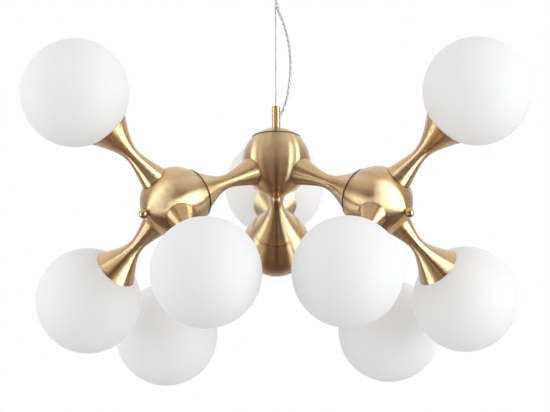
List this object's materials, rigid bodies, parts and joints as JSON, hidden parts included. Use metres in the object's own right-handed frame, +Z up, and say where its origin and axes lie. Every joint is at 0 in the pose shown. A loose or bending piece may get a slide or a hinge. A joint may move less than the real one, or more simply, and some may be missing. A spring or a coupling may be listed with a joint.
{
  "type": "multi arm chandelier",
  "caption": "Hanging light: a wire-hung ball hub, hourglass brass arms to outer ball hubs, and opal globes on further arms that come off to reach the bulbs.",
  "frame": {"origin": "middle of the bracket's two screw slots in the ceiling plane", "axes": "+Z up into the ceiling, -Y towards the viewer of the picture, +X to the viewer's right"},
  "size_m": [0.7024, 0.7125, 0.5915],
  "materials": {
    "brass": "satin brushed round each turned piece",
    "opal_glass": "matte opal",
    "steel": "plain turned",
    "wire": "stranded",
    "cord": "pale clear jacket",
    "clip": "clear moulded",
    "white_plastic": "moulded",
    "bulb": "clear capsule",
    "seal": "dark thin ring",
    "lead": "insulated lead"
  },
  "bodies": {
    "ceiling": {"ceiling_bracket": "steel", "ceiling_canopy": "brass", "wire_gripper": "brass", "cord_grip": "clip", "terminal_block": "white_plastic", "suspension_wire": "wire", "wire_stop": "steel", "power_cord": "cord", "cord_clip": "clip"},
    "pendant": {"stem": "brass", "cord_bush": "brass", "top_cap": "brass", "cap_seal": "seal", "hub_center": "brass", "finial_center": "brass", "center_rod": "steel", "link_arm_rear": "brass", "link_arm_right": "brass", "link_arm_left": "brass", "link_rods": "steel", "link_covers": "brass", "center_wiring": "lead"},
    "hub_left_group": {"hub_left": "brass", "finial_left": "brass", "arm_left_top": "brass", "arm_left_outer": "brass", "arm_left_front": "brass", "arm_tubes_left": "steel", "lampholders_left": "white_plastic", "bulbs_left": "bulb", "wiring_left": "lead"},
    "globe_left_top_body": {"globe_left_top": "opal_glass"},
    "globe_left_outer_body": {"globe_left_outer": "opal_glass"},
    "globe_left_front_body": {"globe_left_front": "opal_glass"},
    "hub_right_group": {"hub_right": "brass", "finial_right": "brass", "arm_right_top": "brass", "arm_right_front": "brass", "arm_right_outer": "brass", "arm_tubes_right": "steel", "lampholders_right": "white_plastic", "bulbs_right": "bulb", "wiring_right": "lead"},
    "globe_right_top_body": {"globe_right_top": "opal_glass"},
    "globe_right_front_body": {"globe_right_front": "opal_glass"},
    "globe_right_outer_body": {"globe_right_outer": "opal_glass"},
    "hub_rear_group": {"hub_rear": "brass", "finial_rear": "brass", "arm_rear_top": "brass", "arm_rear_right": "brass", "arm_rear_left": "brass", "arm_tubes_rear": "steel", "lampholders_rear": "white_plastic", "bulbs_rear": "bulb", "wiring_rear": "lead"},
    "globe_rear_top_body": {"globe_rear_top": "opal_glass"},
    "globe_rear_right_body": {"globe_rear_right": "opal_glass"},
    "globe_rear_left_body": {"globe_rear_left": "opal_glass"}
  },
  "joints": [
    {"name": "pendant_swivel", "type": "hinge", "parent": "ceiling", "child": "pendant", "pos_m": [0, 0, -0.221], "axis": [0, 0, 1], "range_deg": [-90, 90], "deforming": ["power_cord"]},
    {"name": "hub_left_turn", "type": "hinge", "parent": "pendant", "child": "hub_left_group", "pos_m": [-0.14148, -0.08168, -0.37908], "axis": [-0.7795, -0.45, -0.4357], "range_deg": [-90, 90]},
    {"name": "globe_left_top_off", "type": "slide", "parent": "hub_left_group", "child": "globe_left_top_body", "axis": [-0.6401, -0.4572, 0.6174], "range_m": [0, 0.06]},
    {"name": "globe_left_outer_off", "type": "slide", "parent": "hub_left_group", "child": "globe_left_outer_body", "axis": [-0.6026, 0.5928, -0.5343], "range_m": [0, 0.06]},
    {"name": "globe_left_front_off", "type": "slide", "parent": "hub_left_group", "child": "globe_left_front_body", "axis": [0.2238, -0.7238, -0.6527], "range_m": [0, 0.06]},
    {"name": "hub_right_turn", "type": "hinge", "parent": "pendant", "child": "hub_right_group", "pos_m": [0.14148, -0.08168, -0.37908], "axis": [0.7795, -0.45, -0.4357], "range_deg": [-90, 90]},
    {"name": "globe_right_top_off", "type": "slide", "parent": "hub_right_group", "child": "globe_right_top_body", "axis": [0.6401, -0.4572, 0.6174], "range_m": [0, 0.06]},
    {"name": "globe_right_front_off", "type": "slide", "parent": "hub_right_group", "child": "globe_right_front_body", "axis": [-0.2238, -0.7238, -0.6527], "range_m": [0, 0.06]},
    {"name": "globe_right_outer_off", "type": "slide", "parent": "hub_right_group", "child": "globe_right_outer_body", "axis": [0.6026, 0.5928, -0.5343], "range_m": [0, 0.06]},
    {"name": "hub_rear_turn", "type": "hinge", "parent": "pendant", "child": "hub_rear_group", "pos_m": [0, 0.16337, -0.37908], "axis": [0, 0.9001, -0.4357], "range_deg": [-90, 90]},
    {"name": "globe_rear_top_off", "type": "slide", "parent": "hub_rear_group", "child": "globe_rear_top_body", "axis": [-0.0141, 0.7843, 0.6202], "range_m": [0, 0.06]},
    {"name": "globe_rear_right_off", "type": "slide", "parent": "hub_rear_group", "child": "globe_rear_right_body", "axis": [0.7865, 0.2014, -0.5838], "range_m": [0, 0.06]},
    {"name": "globe_rear_left_off", "type": "slide", "parent": "hub_rear_group", "child": "globe_rear_left_body", "axis": [-0.7723, 0.1908, -0.6059], "range_m": [0, 0.06]}
  ]
}
